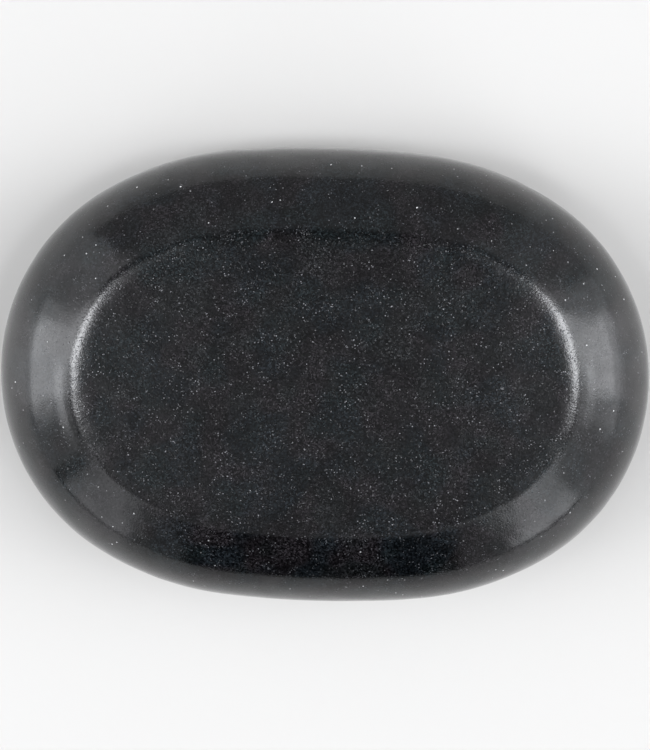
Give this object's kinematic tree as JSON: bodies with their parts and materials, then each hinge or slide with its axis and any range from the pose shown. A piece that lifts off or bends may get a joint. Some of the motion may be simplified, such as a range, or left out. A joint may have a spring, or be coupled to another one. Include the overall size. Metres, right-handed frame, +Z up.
{
  "type": "massage stone",
  "caption": "Smooth oval basalt massage stone with a fully rounded edge and a flat on each broad face, warmed and laid on or glided over the skin.",
  "frame": {"origin": "centre of the lower flat, the face the stone rests on", "axes": "+X along the stone's length, +Y across its width, +Z up through its thickness, from the lower flat to the upper flat"},
  "size_m": [0.08, 0.056, 0.023],
  "materials": {
    "basalt": "satin"
  },
  "bodies": {
    "root": {"massage_stone": "basalt"}
  },
  "joints": []
}
